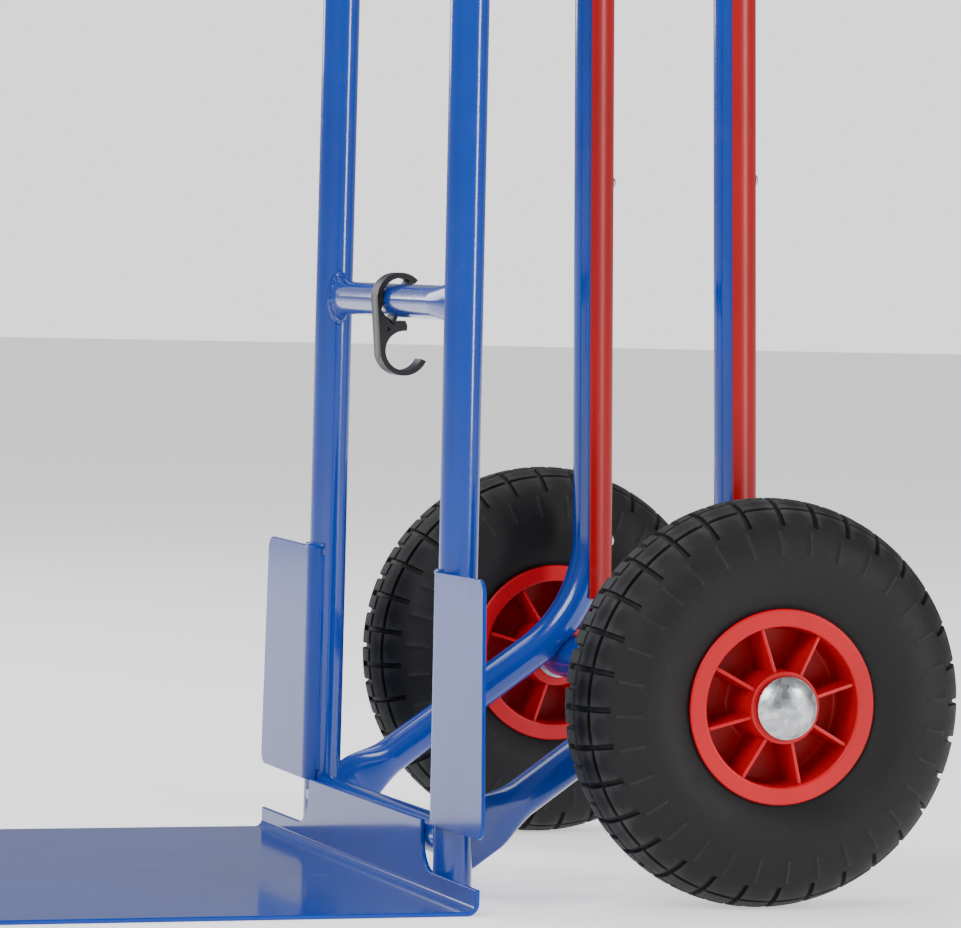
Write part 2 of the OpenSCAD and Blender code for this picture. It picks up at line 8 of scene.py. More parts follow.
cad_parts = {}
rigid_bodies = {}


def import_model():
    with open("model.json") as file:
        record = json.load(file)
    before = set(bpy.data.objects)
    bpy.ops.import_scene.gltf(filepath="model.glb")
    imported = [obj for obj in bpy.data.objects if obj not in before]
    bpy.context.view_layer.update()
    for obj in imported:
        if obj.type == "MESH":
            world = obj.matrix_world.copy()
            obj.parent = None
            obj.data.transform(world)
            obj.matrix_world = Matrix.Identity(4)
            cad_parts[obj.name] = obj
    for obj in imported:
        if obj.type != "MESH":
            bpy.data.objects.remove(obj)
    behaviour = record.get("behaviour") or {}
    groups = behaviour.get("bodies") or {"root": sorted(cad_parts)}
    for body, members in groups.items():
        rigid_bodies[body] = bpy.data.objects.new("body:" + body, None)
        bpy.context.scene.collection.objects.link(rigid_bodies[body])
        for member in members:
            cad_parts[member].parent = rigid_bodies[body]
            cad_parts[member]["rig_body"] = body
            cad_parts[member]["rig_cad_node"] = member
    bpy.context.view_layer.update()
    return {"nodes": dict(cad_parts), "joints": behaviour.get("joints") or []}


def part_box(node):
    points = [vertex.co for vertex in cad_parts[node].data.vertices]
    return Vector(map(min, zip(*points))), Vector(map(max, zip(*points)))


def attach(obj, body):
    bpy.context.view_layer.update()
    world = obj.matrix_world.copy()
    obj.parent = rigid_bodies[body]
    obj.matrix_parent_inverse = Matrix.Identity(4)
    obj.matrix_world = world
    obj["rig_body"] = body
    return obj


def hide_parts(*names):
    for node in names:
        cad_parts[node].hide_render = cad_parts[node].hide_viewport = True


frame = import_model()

# Looks of a tubular steel hand truck. Lengths are in metres and angles in degrees.
# +X is the truck's left-right direction, -Y its loading side, +Z up.

# --- sizes --------------------------------------------------------------------------------------

JOINTS = {joint["name"]: joint for joint in frame["joints"]}
HOOK_PIVOT = Vector(JOINTS["hook_swing"]["pos_m"])
WHEEL_PIVOT = Vector(JOINTS["wheel_right_spin"]["pos_m"])
UPRIGHT_Y = HOOK_PIVOT.y
SIDES = {"left": -1, "right": 1}

# Tubes of the side frames. Points are [distance behind the upright, height].
TUBE_R = 0.0125
TUBE_WALL = 0.0015
FOOT_HALF = 0.1465
TAPER = 0.55
UPRIGHT_FOOT = 0.005
UPRIGHT_BEND_H = 1.010
UPRIGHT_BEND_R = 0.090
UPRIGHT_TURN = 60
REAR_INSET = 0.0064
DIAGONAL_FOOT = Vector((0, 0.0286))
DIAGONAL_RISE = 35.5
KNEE_X = 0.1906
KNEE_R = 0.100
REAR_LEAN = 1.4
REAR_LEN = 1.025
HANDLE_TURN = 50
HANDLE_BEND_R = 0.090
HANDLE_LEN = 0.150
FLAT_LEN = 0.058
FLAT_H = 0.037
FLAT_T = 0.010
SKID_T = 0.0023
SKID_WRAP = 114
SKID_LOW, SKID_HIGH = 0.172, 1.000
SCREWS = 4
SCREW_MARGIN = 0.040
STAY_H = 0.655
STAY_R = 0.010
SLIP = 0.0001
GRIP_LEN = 0.105
GRIP_WALL = 0.0032

# Tubes across the truck.
CROSS_R = 0.011
CROSS_FLARE = 0.034
CROSS_FLARE_H = 0.031
CROSS_FLARE_T = 0.0136
CROSS_LOW_H, CROSS_MIDDLE_H, CROSS_TOP_H = 0.378, 0.700, 0.985
REAR_BAR_H = 1.105

# Sheet parts.
PLATE_W, PLATE_T, PLATE_BEND_R = 0.482, 0.003, 0.005
FLANGE_H, TAB_H, TAB_HALF, SCALLOP_R = 0.0165, 0.048, 0.1265, 0.0235
PLATE_CORNER_R = 0.018
PLATE_DEPTH = 0.400
WING_LOW, WING_HIGH, WING_TOP_W, WING_FOOT_W = 0.0465, 0.2075, 0.095, 0.102
WING_T, WING_CORNER_R, WING_WRAP = 0.0025, 0.009, 55

# Wheels, about the middle of the wheel.
TYRE_R = 0.130
SECTION_R = 0.0416
TYRE_WALL = 0.005
RIM_R = 0.062
SEAT_R = 0.056
RIM_WALL = 0.0055
RIM_HALF = 0.0355
HUB_R = 0.023
HUB_HALF = 0.040
RIBS = 8
RIB_T = 0.003
RIB_TURN = 16
WEB_T = 0.004
BEARING_R = 0.016
AXLE_R = 0.010
CAP_R = 0.020
CAP_DEPTH = 0.008
PITCHES = 32
STEPS_PER_PITCH = 6


def unit(angle):
    """The direction in the drawing plane at an angle from the x axis."""
    return Vector((math.cos(math.radians(angle)), math.sin(math.radians(angle))))


def bend_reach(radius, turn):
    """Distance from the corner of a bend to where its straight runs begin."""
    return radius * math.tan(math.radians(abs(turn) / 2))


REAR_ANGLE = 90 + REAR_LEAN
KNEE = Vector((KNEE_X, DIAGONAL_FOOT.y + KNEE_X * math.tan(math.radians(DIAGONAL_RISE))))
HANDLE_ANGLE = REAR_ANGLE - HANDLE_TURN
HANDLE_CORNER = KNEE + REAR_LEN * unit(REAR_ANGLE)
HANDLE_END = HANDLE_CORNER + HANDLE_LEN * unit(HANDLE_ANGLE)
KNEE_REACH = bend_reach(KNEE_R, REAR_ANGLE - DIAGONAL_RISE)
HANDLE_REACH = bend_reach(HANDLE_BEND_R, HANDLE_TURN)


def rear_at(height):
    """The drawing's x of a rear tube's axis at a height."""
    return KNEE.x + (height - KNEE.y) / math.tan(math.radians(REAR_ANGLE))


def side_matrix(side, inset=0.0):
    """From the side frame's drawing (x backwards, y up, z outwards) to the truck."""
    drawing = Matrix(((0, 0, 1, 0), (1, 0, 0, 0), (0, 1, 0, 0), (0, 0, 0, 1)))
    lean = Matrix.Rotation(math.radians(-TAPER), 4, "Y")
    mirrored = Matrix.Diagonal((side, 1, 1, 1))
    moved = Matrix.Translation((FOOT_HALF, 0, 0)) @ lean @ drawing
    return Matrix.Translation((0, UPRIGHT_Y, 0)) @ mirrored @ moved @ Matrix.Translation((0, 0, -inset))


def wheel_matrix(side):
    """From a wheel's drawing (z outwards along the axle) to the truck."""
    turn = Matrix.Rotation(math.radians(side * 90), 4, "Y")
    return Matrix.Translation((side * WHEEL_PIVOT.x, WHEEL_PIVOT.y, WHEEL_PIVOT.z)) @ turn


# --- shaders --------------------------------------------------------------------------------------


class Value:
    """A socket's value. Arithmetic on it adds the Math nodes that work it out."""

    def __init__(self, shader, socket):
        self.shader = shader
        self.socket = socket

    def maths(self, operation, *terms):
        return self.shader.add("ShaderNodeMath", {"operation": operation}, dict(enumerate(terms)))

    def __add__(self, other):
        return self.maths("ADD", self, other)

    def __sub__(self, other):
        return self.maths("SUBTRACT", self, other)

    def __rsub__(self, other):
        return self.maths("SUBTRACT", other, self)

    def __mul__(self, other):
        return self.maths("MULTIPLY", self, other)

    __radd__ = __add__
    __rmul__ = __mul__


class Shader:
    """A new material. Its nodes are added one by one and joined to the Principled shader."""

    def __init__(self, name, **constants):
        self.material = bpy.data.materials.new(name)
        self.material.use_nodes = True
        self.tree = self.material.node_tree
        self.surface = self.tree.nodes["Principled BSDF"]
        for socket, value in constants.items():
            self.surface.inputs[self.label(socket)].default_value = value
        self.place = self.add("ShaderNodeTexCoord", {}, {}, "Object")

    @staticmethod
    def label(socket):
        """A socket's name as the Principled shader spells it."""
        return socket.replace("_", " ").title().replace("Ior", "IOR")

    def add(self, kind, settings, inputs, output=0):
        """Adds a node with its settings, fills its inputs, and gives one output as a Value."""
        node = self.tree.nodes.new(kind)
        for name, value in settings.items():
            setattr(node, name, value)
        for name, value in inputs.items():
            if isinstance(value, Value):
                self.tree.links.new(value.socket, node.inputs[name])
            else:
                node.inputs[name].default_value = value
        return Value(self, node.outputs[output])

    def noise(self, scale, detail=3.0, roughness=0.55, stretch=(1, 1, 1)):
        """Noise from about 0 to 1. The scale is in repeats per metre."""
        place = self.add("ShaderNodeMapping", {}, {"Vector": self.place, "Scale": stretch})
        inputs = {"Vector": place, "Scale": scale, "Detail": detail, "Roughness": roughness}
        return self.add("ShaderNodeTexNoise", {}, inputs)

    def cells(self, scale, feature="F1", output="Distance"):
        return self.add("ShaderNodeTexVoronoi", {"feature": feature},
                        {"Vector": self.place, "Scale": scale}, output)

    def ramp(self, value, low, high):
        """0 below low, 1 above high and smooth between them."""
        return self.add("ShaderNodeMapRange", {"interpolation_type": "SMOOTHSTEP"},
                        {"Value": value, "From Min": low, "From Max": high})

    def mix(self, factor, first, second):
        """A colour between two colours."""
        settings = {"data_type": "RGBA", "blend_type": "MIX"}
        return self.add("ShaderNodeMix", settings, {0: factor, 6: first, 7: second}, 2)

    def bump(self, height, distance, strength=1.0, below=None):
        inputs = {"Height": height, "Distance": distance, "Strength": strength}
        if below:
            inputs["Normal"] = below
        return self.add("ShaderNodeBump", {}, inputs)

    def drive(self, **sockets):
        """Joins values to the Principled shader's sockets."""
        for socket, value in sockets.items():
            self.tree.links.new(value.socket, self.surface.inputs[self.label(socket)])
        return self.material


def edges_worn(shader, low, high):
    """A mask that is 1 on sharp convex edges."""
    point = shader.add("ShaderNodeNewGeometry", {}, {}, "Pointiness")
    return shader.ramp(point, low, high)


def enamel(name, colour, deep, roughness, peel, clear):
    """Glossy stove enamel with orange peel, faint clouding, dust and a few chips on the edges."""
    s = Shader(name, coat_roughness=0.05, coat_ior=1.4, specular_ior_level=0.5 * clear + 0.12)
    cloud = s.noise(9, 4)
    dust = s.ramp(s.noise(34, 8, 0.7), 0.52, 0.78)
    chips = edges_worn(s, 0.64, 0.72) * s.ramp(s.noise(260, 5), 0.58, 0.66)
    scratches = s.ramp(s.noise(60, 6, 0.6, (1, 14, 1)), 0.70, 0.74)
    base = s.mix(s.ramp(cloud, 0.3, 0.7), colour, deep)
    base = s.mix(dust * 0.03, base, (0.20, 0.23, 0.28, 1))
    base = s.mix(chips, base, (0.10, 0.10, 0.11, 1))
    gloss = roughness + dust * 0.10 + scratches * 0.06 + chips * 0.3
    relief = s.bump(s.noise(330, 2), 0.00012 * peel, 0.5)
    relief = s.bump(1 - chips, 0.0002, 0.6, relief)
    coat = clear - chips * clear - dust * 0.15 * clear
    return s.drive(base_color=base, roughness=gloss, coat_weight=coat, normal=relief)


def zinc(name, shine):
    """Zinc plating: pale spangles, cloudy stains and fine tool marks."""
    s = Shader(name, specular_ior_level=0.5)
    spangle = s.cells(260, "F1", "Color")
    grey = s.add("ShaderNodeRGBToBW", {}, {"Color": spangle})
    stain = s.ramp(s.noise(70, 5), 0.40, 0.70)
    base = s.mix(grey, (0.34, 0.35, 0.36, 1), (0.66, 0.67, 0.68, 1))
    base = s.mix(stain * 0.6, base, (0.20, 0.21, 0.23, 1))
    gloss = shine + grey * 0.10 + stain * 0.16
    relief = s.bump(s.noise(75, 3), 0.0012, 0.45)
    relief = s.bump(s.noise(900, 3), 0.00004, 0.4, relief)
    metal = 1 - stain * 0.15
    return s.drive(base_color=base, roughness=gloss, metallic=metal, normal=relief)


def moulded(name, colour, shade, roughness, grain):
    """Injection-moulded plastic: fine texture, faint flow marks, scuffed edges."""
    s = Shader(name, specular_ior_level=0.32)
    flow = s.ramp(s.noise(16, 3, 0.5, (1, 1, 0.35)), 0.35, 0.7)
    scuff = s.ramp(s.noise(140, 5, 0.6, (1, 1, 0.2)), 0.66, 0.74)
    dust = s.ramp(s.noise(45, 7, 0.7), 0.55, 0.8)
    base = s.mix(flow, colour, shade)
    base = s.mix(scuff * 0.04 + dust * 0.015, base, (0.40, 0.30, 0.28, 1))
    relief = s.bump(s.noise(1500, 2), 0.00006 * grain, 0.5)
    gloss = roughness + dust * 0.12 + scuff * 0.15 + flow * 0.04
    return s.drive(base_color=base, roughness=gloss, normal=relief)


def tyre_rubber():
    """Black tyre rubber with a dusty bloom, greyer on the tread and its worn edges."""
    s = Shader("tyre_rubber", specular_ior_level=0.28)
    bloom = s.ramp(s.noise(28, 7, 0.65), 0.35, 0.75)
    specks = s.ramp(s.noise(520, 3), 0.60, 0.72)
    worn = edges_worn(s, 0.515, 0.57)
    base = s.mix(bloom, (0.004, 0.004, 0.0045, 1), (0.009, 0.009, 0.0095, 1))
    base = s.mix(worn * (0.15 + bloom * 0.4), base, (0.09, 0.09, 0.09, 1))
    base = s.mix(specks * 0.25, base, (0.03, 0.03, 0.03, 1))
    relief = s.bump(s.noise(700, 4), 0.00012, 0.6)
    relief = s.bump(s.noise(60, 3), 0.0004, 0.3, relief)
    gloss = 0.58 + bloom * 0.18 + worn * 0.1
    return s.drive(base_color=base, roughness=gloss, normal=relief)


def soft_rubber(name, colour, roughness):
    """Plain rubber with a fine grain and greyed high spots."""
    s = Shader(name, specular_ior_level=0.4)
    grain = s.noise(900, 4)
    bloom = s.ramp(s.noise(40, 6), 0.4, 0.75)
    base = s.mix(bloom * 0.5, colour, tuple(2.2 * c for c in colour[:3]) + (1,))
    relief = s.bump(grain, 0.0001, 0.6)
    return s.drive(base_color=base, roughness=roughness + bloom * 0.12, normal=relief)


BLUE = (0.001, 0.040, 0.31, 1)
DEEP_BLUE = (0.001, 0.032, 0.26, 1)
RED = (0.52, 0.0005, 0.008, 1)
DEEP_RED = (0.42, 0.0005, 0.006, 1)

FINISHES = {
    "blue_enamel": enamel("blue_enamel", BLUE, DEEP_BLUE, 0.18, 0.6, 0.65),
    "plate_enamel": enamel("plate_enamel", BLUE, DEEP_BLUE, 0.12, 0.25, 0.2),
    "zinc": zinc("zinc", 0.24),
    "rim_red": moulded("rim_red", RED, DEEP_RED, 0.36, 0.6),
    "skid_red": moulded("skid_red", (0.33, 0.0005, 0.003, 1), (0.27, 0.0005, 0.002, 1), 0.30, 0.5),
    "hook_black": moulded("hook_black", (0.010, 0.010, 0.011, 1), (0.015, 0.015, 0.016, 1), 0.42, 1.0),
    "tyre_rubber": tyre_rubber(),
    "tube_rubber": soft_rubber("tube_rubber", (0.018, 0.018, 0.019, 1), 0.55),
    "grip_black": soft_rubber("grip_black", (0.014, 0.014, 0.015, 1), 0.48),
}


# --- modelling tools ------------------------------------------------------------------------------


def deselect():
    bpy.ops.object.select_all(action="DESELECT")


def start(primitive, **settings):
    """Adds a primitive, opens it for editing and gives the new object."""
    deselect()
    primitive(**settings)
    piece = bpy.context.object
    bpy.ops.object.transform_apply(location=True, rotation=True, scale=True)
    bpy.ops.object.mode_set(mode="EDIT")
    bpy.ops.mesh.select_mode(type="VERT")
    bpy.ops.mesh.select_all(action="SELECT")
    return piece


def reopen(piece):
    deselect()
    piece.select_set(True)
    bpy.context.view_layer.objects.active = piece
    bpy.ops.object.mode_set(mode="EDIT")


def close():
    bpy.ops.object.mode_set(mode="OBJECT")


def pick(piece, kind, test):
    """Selects the vertices, edges or faces whose middle passes a test."""
    bpy.ops.mesh.select_mode(type=kind)
    bpy.ops.mesh.select_all(action="DESELECT")
    mesh = bmesh.from_edit_mesh(piece.data)
    for item in {"VERT": mesh.verts, "EDGE": mesh.edges, "FACE": mesh.faces}[kind]:
        if kind == "VERT":
            middle = item.co
        elif kind == "EDGE":
            middle = (item.verts[0].co + item.verts[1].co) / 2
        else:
            middle = item.calc_center_median()
        if test(middle):
            item.select_set(True)
    mesh.select_flush_mode()
    bmesh.update_edit_mesh(piece.data)


def extrude(move):
    bpy.ops.mesh.extrude_region_move(TRANSFORM_OT_translate={"value": tuple(move)})


def resize(factors, centre):
    bpy.ops.transform.resize(value=tuple(factors), center_override=tuple(centre))


def sweep(point, heading, moves):
    """Draws the selected ring along the drawing plane and gives where and how it ends.

    A move is ("run", length) or ("bend", radius, turn to the left)."""
    for move in moves:
        if move[0] == "run":
            step = move[1] * unit(heading)
            extrude((step.x, step.y, 0))
            point = point + step
        else:
            radius, turn = move[1:]
            left = 1 if turn > 0 else -1
            centre = point + left * radius * unit(heading + 90)
            steps = max(2, round(abs(turn) / 3))
            # the operator turns clockwise for a positive angle
            bpy.ops.mesh.spin(steps=steps, angle=-math.radians(turn),
                              center=(centre.x, centre.y, 0), axis=(0, 0, 1))
            heading += turn
            point = centre - left * radius * unit(heading + 90)
    return point, heading


def ring_at(point, heading, radius, vertices=48):
    """Opens a new ring that stands across the drawing plane."""
    turn = math.radians(heading)
    piece = start(bpy.ops.mesh.primitive_circle_add, vertices=vertices, radius=radius,
                  rotation=(0, math.pi / 2, 0))
    bpy.ops.object.mode_set(mode="OBJECT")
    piece.data.transform(Matrix.Translation((point.x, point.y, 0)) @ Matrix.Rotation(turn, 4, "Z"))
    bpy.ops.object.mode_set(mode="EDIT")
    return piece


def use(piece, kind, **settings):
    """Adds a modifier and applies it."""
    deselect()
    piece.select_set(True)
    bpy.context.view_layer.objects.active = piece
    modifier = piece.modifiers.new(kind.title(), kind)
    for name, value in settings.items():
        setattr(modifier, name, value)
    bpy.ops.object.modifier_apply(modifier=modifier.name)


def soften(piece, width, segments=2, angle=30):
    """Rounds the edges that are sharper than an angle."""
    use(piece, "BEVEL", width=width, segments=segments, limit_method="ANGLE",
        angle_limit=math.radians(angle), use_clamp_overlap=True)


def heal(piece):
    """Merges doubles and turns every face outwards."""
    reopen(piece)
    bpy.ops.mesh.select_all(action="SELECT")
    bpy.ops.mesh.remove_doubles(threshold=0.00001)
    bpy.ops.mesh.delete_loose()
    bpy.ops.mesh.select_all(action="SELECT")
    bpy.ops.mesh.normals_make_consistent(inside=False)
    close()


def place(piece, matrix):
    """Moves the finished mesh to its place, with faces outwards."""
    piece.data.transform(matrix)
    piece.matrix_world = Matrix.Identity(4)
    heal(piece)


def twin(piece):
    other = piece.copy()
    other.data = piece.data.copy()
    bpy.context.scene.collection.objects.link(other)
    return other


def join(pieces):
    """One piece from several."""
    deselect()
    for piece in pieces:
        piece.select_set(True)
    bpy.context.view_layer.objects.active = pieces[0]
    bpy.ops.object.join()
    return pieces[0]


def hand_over(piece, name, body, finish, *nodes, angle=32):
    """Names a finished piece, gives it its finish and puts it on its body."""
    piece.name = f"{name}_skin"
    piece.data.name = piece.name
    deselect()
    piece.select_set(True)
    bpy.context.view_layer.objects.active = piece
    bpy.ops.object.shade_smooth_by_angle(angle=math.radians(angle))
    use(piece, "WEIGHTED_NORMAL", keep_sharp=True)
    piece.data.materials.clear()
    piece.data.materials.append(FINISHES[finish])
    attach(piece, body)
    if nodes:
        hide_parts(*nodes)
    return piece


def on_both_sides(piece, inset, name, finish, node):
    """Hands over a left and a right copy of a piece that is modelled in the side frame's drawing."""
    other = twin(piece)
    for side, copy in (("left", other), ("right", piece)):
        place(copy, side_matrix(SIDES[side], inset))
        hand_over(copy, f"{name}_{side}", "frame", finish, f"{node}_{side}")


def cap_ends(piece, ends, hollow=0.0):
    """Closes open rings. A hollow end shows the tube's wall and its inside."""
    for test, inwards in ends:
        pick(piece, "EDGE", test)
        bpy.ops.mesh.edge_face_add()
        if hollow:
            bpy.ops.mesh.select_mode(type="FACE")
            bpy.ops.mesh.inset(thickness=TUBE_WALL)
            extrude(inwards * hollow)


def weld_bead(half_w, half_h, pipe_r, thickness):
    """A closed bead round an oval bar that meets a pipe along y. The bar comes from -z."""
    bead = start(bpy.ops.mesh.primitive_torus_add, major_segments=64, minor_segments=10,
                 major_radius=1.0, minor_radius=thickness / (half_w + half_h) * 2)
    resize((half_w, half_h, (half_w + half_h) / 2), (0, 0, 0))
    close()
    for vertex in bead.data.vertices:
        across = min(abs(vertex.co.x), pipe_r)
        ripple = 0.12 * thickness * math.sin(22 * math.atan2(vertex.co.y / half_h, vertex.co.x / half_w))
        vertex.co.z -= math.sqrt(pipe_r ** 2 - across ** 2) + ripple
    return bead


# --- side frames ----------------------------------------------------------------------------------


def upright():
    """A tube that stands behind the toe plate and bends back at the top, where its end is pressed."""
    foot = Vector((0, UPRIGHT_FOOT))
    piece = ring_at(foot, 90, TUBE_R)
    corner = Vector((0, UPRIGHT_BEND_H + bend_reach(UPRIGHT_BEND_R, UPRIGHT_TURN)))
    heading = 90 - UPRIGHT_TURN
    reach = (rear_at(corner.y) - TUBE_R / 2) / unit(heading).x - bend_reach(UPRIGHT_BEND_R, UPRIGHT_TURN)
    pressed, rings = 0.030, 5
    sweep(foot, 90, [("run", UPRIGHT_BEND_H - foot.y), ("bend", UPRIGHT_BEND_R, -UPRIGHT_TURN),
                     ("run", reach - pressed)])
    for _ in range(rings):
        step = pressed / rings * unit(heading)
        extrude((step.x, step.y, -REAR_INSET / rings))
        resize((1, 1, 0.90), (0, 0, -REAR_INSET))
    bpy.ops.mesh.edge_face_add()
    cap_ends(piece, [(lambda p: p.y < foot.y + 0.0001, Vector((0, 1, 0)))], hollow=0.03)
    close()
    on_both_sides(piece, 0, "upright", "blue_enamel", "upright")


def rear_tube():
    """A tube from its pressed foot up the diagonal, round the knee and back into the handle."""
    start_x = TUBE_R / 2 - FLAT_LEN
    piece = start(bpy.ops.mesh.primitive_circle_add, vertices=48, radius=TUBE_R,
                  location=(start_x, 0, 0), rotation=(0, math.pi / 2, 0))
    tall, thin = FLAT_H / 2 / TUBE_R, FLAT_T / 2 / TUBE_R
    resize((1, tall, thin), (start_x, 0, 0))
    bpy.ops.mesh.edge_face_add()
    flat, rings = 0.022, 10
    extrude((flat, 0, 0))
    x, now = start_x + flat, (tall, thin)
    for i in range(1, rings + 1):
        share = i / rings
        round_off = share * share * (3 - 2 * share)
        then = tuple(size + (1 - size) * round_off for size in (tall, thin))
        step = -(start_x + flat) / rings
        extrude((step, 0, 0))
        x += step
        resize((1, then[0] / now[0], then[1] / now[1]), (x, 0, 0))
        now = then
    bpy.ops.mesh.delete(type="ONLY_FACE")
    close()
    flat_start = DIAGONAL_FOOT + FLAT_LEN * unit(DIAGONAL_RISE)
    turn = Matrix.Rotation(math.radians(DIAGONAL_RISE), 4, "Z")
    piece.data.transform(Matrix.Translation((flat_start.x, flat_start.y, 0)) @ turn)
    reopen(piece)
    along = unit(DIAGONAL_RISE)
    pick(piece, "VERT", lambda p: (p.xy - flat_start).dot(along) > -0.0001)
    sweep(flat_start, DIAGONAL_RISE, [
        ("run", (KNEE - DIAGONAL_FOOT).length - FLAT_LEN - KNEE_REACH),
        ("bend", KNEE_R, REAR_ANGLE - DIAGONAL_RISE),
        ("run", REAR_LEN - KNEE_REACH - HANDLE_REACH),
        ("bend", HANDLE_BEND_R, -HANDLE_TURN),
        ("run", HANDLE_LEN - HANDLE_REACH),
    ])
    bpy.ops.mesh.edge_face_add()
    close()
    on_both_sides(piece, REAR_INSET, "rear_tube", "blue_enamel", "rear_tube")


def stair_skid():
    """A plastic shell that wraps round the back of a rear tube, with rounded edges and ends."""
    low = Vector((rear_at(SKID_LOW), SKID_LOW))
    high = Vector((rear_at(SKID_HIGH), SKID_HIGH))
    piece = ring_at(low, REAR_ANGLE, TUBE_R + SLIP + SKID_T / 2, vertices=96)
    back = unit(REAR_ANGLE - 90)

    def in_front(p):
        return math.degrees(math.atan2(abs(p.z), (p.xy - low).dot(back))) > SKID_WRAP + 1

    pick(piece, "VERT", in_front)
    bpy.ops.mesh.delete(type="VERT")
    bpy.ops.mesh.select_all(action="SELECT")
    length = (high - low).length
    sweep(low, REAR_ANGLE, [("run", 0.004), ("run", length - 0.008), ("run", 0.004)])
    close()
    heal(piece)
    use(piece, "SOLIDIFY", thickness=SKID_T, offset=0)
    soften(piece, 0.0009, 3, 50)
    on_both_sides(piece, REAR_INSET, "stair_skid", "skid_red", "stair_skid")


def screws():
    """Pan-head screws with a cross recess, four on each skid."""
    head = lathe([(0, 0.0011), (0.0007, 0.0011), (0.0012, 0.0019), (0.0022, 0.0018), (0.0031, 0.0014),
                  (0.0037, 0.0008), (0.0040, 0.0002), (0.0040, -0.0002), (0, -0.0002)], 24)
    slot_piece = start(bpy.ops.mesh.primitive_cube_add, size=1)
    resize((0.0040, 0.0007, 0.0016), (0, 0, 0))
    bpy.ops.transform.translate(value=(0, 0, 0.0020))
    close()
    for turn in (0, 90):
        slot_piece.data.transform(Matrix.Rotation(math.radians(turn), 4, "Z"))
        use(head, "BOOLEAN", object=slot_piece, operation="DIFFERENCE", solver="EXACT")
    bpy.data.objects.remove(slot_piece)
    pitch = (SKID_HIGH - SKID_LOW - 2 * SCREW_MARGIN) / (SCREWS - 1)
    heads = []
    for side in SIDES.values():
        for i in range(SCREWS):
            height = SKID_LOW + SCREW_MARGIN + i * pitch
            out = Matrix.Rotation(math.radians(REAR_LEAN), 4, "Z") @ Matrix.Rotation(math.pi / 2, 4, "Y")
            spot = Matrix.Translation((rear_at(height), height, 0)) @ out
            lift = Matrix.Translation((0, 0, TUBE_R + SLIP + SKID_T))
            turned = Matrix.Rotation(math.radians(37 * i + 20 * side), 4, "Z")
            copy = twin(head)
            place(copy, side_matrix(side, REAR_INSET) @ spot @ lift @ turned)
            heads.append(copy)
    bpy.data.objects.remove(head)
    hand_over(join(heads), "skid_screws", "frame", "zinc", "skid_screws")


def grip():
    """A rubber grip with a collar, finger rings and a rounded closed end."""
    radius = TUBE_R + SLIP + GRIP_WALL
    points = [(TUBE_R + SLIP, 0), (radius + 0.0012, 0), (radius + 0.0020, 0.0008),
              (radius + 0.0020, 0.0032), (radius + 0.0012, 0.0040), (radius, 0.0046)]
    pitch, depth = 0.0075, 0.0011
    at = 0.010
    while at + pitch < GRIP_LEN - 0.006:
        points += [(radius, at), (radius - depth, at + 0.0010), (radius - depth, at + 0.0022),
                   (radius, at + 0.0032)]
        at += pitch
    end = GRIP_LEN + GRIP_WALL
    points += [(radius, GRIP_LEN - 0.004), (radius + 0.0008, GRIP_LEN - 0.003),
               (radius + 0.0008, GRIP_LEN)]
    points += [(radius - 0.004 + 0.0045 * math.cos(a), end - 0.0033 + 0.0033 * math.sin(a))
               for a in (math.radians(d) for d in (10, 30, 50, 70, 90))]
    points += [(0.004, end), (0, end - 0.0004), (0, GRIP_LEN), (TUBE_R + SLIP, GRIP_LEN)]
    piece = lathe(points + points[:1], 64)
    along = Matrix.Rotation(math.radians(HANDLE_ANGLE), 4, "Z") @ Matrix.Rotation(math.pi / 2, 4, "Y")
    piece.data.transform(Matrix.Translation((HANDLE_END.x, HANDLE_END.y, 0)) @ along
                         @ Matrix.Translation((0, 0, -GRIP_LEN)))
    on_both_sides(piece, REAR_INSET, "grip", "grip_black", "grip")


# --- tubes across the truck -------------------------------------------------------------------------


def cross_tube(name, height):
    """A round tube whose ends are pressed tall and narrow, welded to the uprights."""
    half = FOOT_HALF - height * math.tan(math.radians(TAPER))
    end = half - TUBE_R * 0.6
    flare_from = half - TUBE_R - CROSS_FLARE
    tall, thin = CROSS_FLARE_H / 2 / CROSS_R, CROSS_FLARE_T / 2 / CROSS_R
    piece = start(bpy.ops.mesh.primitive_circle_add, vertices=48, radius=CROSS_R,
                  location=(-end, 0, 0), rotation=(0, math.pi / 2, 0))
    resize((1, thin, tall), (-end, 0, 0))
    bpy.ops.mesh.edge_face_add()
    rings = 12
    shares = [i / rings for i in range(1, rings + 1)]
    span = end - flare_from

    def flared(share):
        """Height and width factors at a share of the way from the round tube to its end."""
        grown = share ** 1.4
        return (1 + (thin - 1) * min(1, share * 1.25) ** 1.3, 1 + (tall - 1) * grown)

    x, now = -end, flared(1)
    stations = [(-end + span * s, flared(1 - s)) for s in shares]
    stations += [(flare_from + span * s, flared(s)) for s in [0] + shares]
    for station, then in stations:
        extrude((station - x, 0, 0))
        x = station
        resize((1, then[0] / now[0], then[1] / now[1]), (x, 0, 0))
        now = then
    bpy.ops.mesh.edge_face_add()
    close()
    place(piece, Matrix.Translation((0, UPRIGHT_Y, height)))
    beads = []
    for side in SIDES.values():
        bead = weld_bead(CROSS_FLARE_T / 2, CROSS_FLARE_H / 2, TUBE_R, 0.0022)
        bead.data.transform(Matrix.Translation((0, height, 0)))
        place(bead, side_matrix(side))
        beads.append(bead)
    hand_over(join([piece] + beads), name, "frame", "blue_enamel", name)


